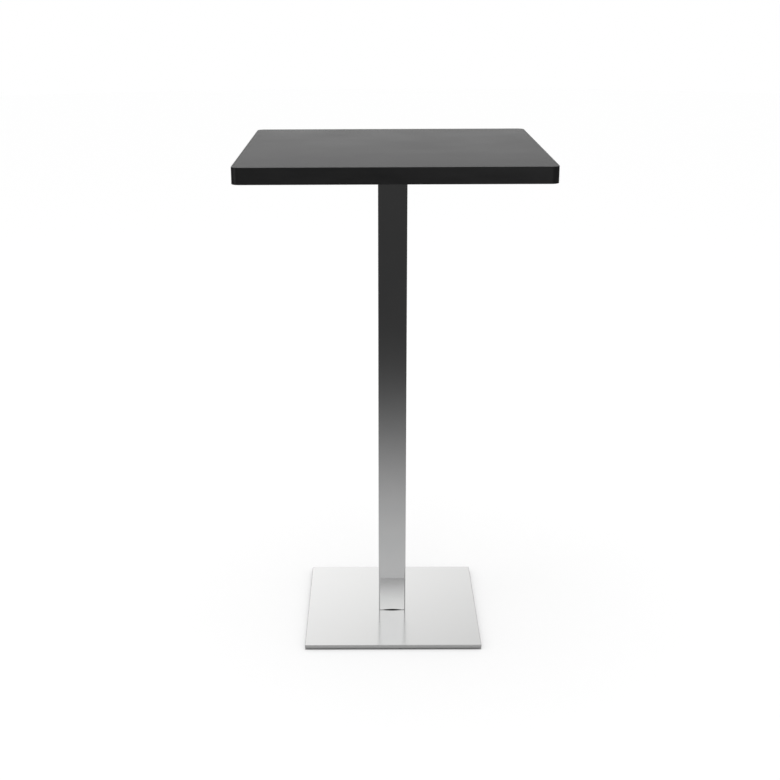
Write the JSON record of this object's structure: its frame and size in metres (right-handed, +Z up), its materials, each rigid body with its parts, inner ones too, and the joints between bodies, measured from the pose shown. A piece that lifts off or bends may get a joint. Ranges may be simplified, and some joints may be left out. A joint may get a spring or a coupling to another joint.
{
  "type": "pub table",
  "caption": "Bar-height pedestal table: thick black square top on a mirror-polished square steel column and a thin brushed-steel base that stands on screw levelling glides.",
  "frame": {"origin": "on the floor, under the middle of the column and the base", "axes": "+Z up along the column, -Y towards the viewer of the picture, +X to the viewer's right"},
  "size_m": [0.6, 0.6, 1.05],
  "materials": {
    "black_laminate": "satin",
    "black_edge_band": "satin",
    "board_core": "matte",
    "polished_steel": "polished",
    "brushed_steel": "satin",
    "black_powder_coat": "satin",
    "ballast_paint": "matte",
    "zinc_plate": "satin",
    "black_nylon": "satin"
  },
  "bodies": {
    "table": {"top_laminate": "black_laminate", "backing_laminate": "black_laminate", "edge_band": "black_edge_band", "top_core": "board_core", "column_tube": "polished_steel", "base_cover": "brushed_steel", "spider_plate": "black_powder_coat", "spider_socket": "black_powder_coat", "ballast_plate": "ballast_paint", "base_socket": "ballast_paint", "top_screws": "zinc_plate", "tie_rod": "zinc_plate", "rod_washers": "zinc_plate", "rod_nuts": "zinc_plate"},
    "stud_front_left": {"glide_stud_front_left": "zinc_plate"},
    "foot_front_left": {"glide_foot_front_left": "black_nylon"},
    "stud_front_right": {"glide_stud_front_right": "zinc_plate"},
    "foot_front_right": {"glide_foot_front_right": "black_nylon"},
    "stud_back_left": {"glide_stud_back_left": "zinc_plate"},
    "foot_back_left": {"glide_foot_back_left": "black_nylon"},
    "stud_back_right": {"glide_stud_back_right": "zinc_plate"},
    "foot_back_right": {"glide_foot_back_right": "black_nylon"}
  },
  "joints": [
    {"name": "glide_travel_front_left", "type": "slide", "parent": "table", "child": "stud_front_left", "axis": [0, 0, -1], "range_m": [0, 0.003]},
    {"name": "glide_turn_front_left", "type": "hinge", "parent": "stud_front_left", "child": "foot_front_left", "pos_m": [-0.15, -0.15, 0], "axis": [0, 0, -1], "range_deg": [0, 864]},
    {"name": "glide_travel_front_right", "type": "slide", "parent": "table", "child": "stud_front_right", "axis": [0, 0, -1], "range_m": [0, 0.003]},
    {"name": "glide_turn_front_right", "type": "hinge", "parent": "stud_front_right", "child": "foot_front_right", "pos_m": [0.15, -0.15, 0], "axis": [0, 0, -1], "range_deg": [0, 864]},
    {"name": "glide_travel_back_left", "type": "slide", "parent": "table", "child": "stud_back_left", "axis": [0, 0, -1], "range_m": [0, 0.003]},
    {"name": "glide_turn_back_left", "type": "hinge", "parent": "stud_back_left", "child": "foot_back_left", "pos_m": [-0.15, 0.15, 0], "axis": [0, 0, -1], "range_deg": [0, 864]},
    {"name": "glide_travel_back_right", "type": "slide", "parent": "table", "child": "stud_back_right", "axis": [0, 0, -1], "range_m": [0, 0.003]},
    {"name": "glide_turn_back_right", "type": "hinge", "parent": "stud_back_right", "child": "foot_back_right", "pos_m": [0.15, 0.15, 0], "axis": [0, 0, -1], "range_deg": [0, 864]}
  ],
  "couplings": [
    {"joint": "glide_travel_front_left", "follows": "glide_turn_front_left", "m_per_rad": 0.00019894},
    {"joint": "glide_travel_front_right", "follows": "glide_turn_front_right", "m_per_rad": 0.00019894},
    {"joint": "glide_travel_back_left", "follows": "glide_turn_back_left", "m_per_rad": 0.00019894},
    {"joint": "glide_travel_back_right", "follows": "glide_turn_back_right", "m_per_rad": 0.00019894}
  ]
}
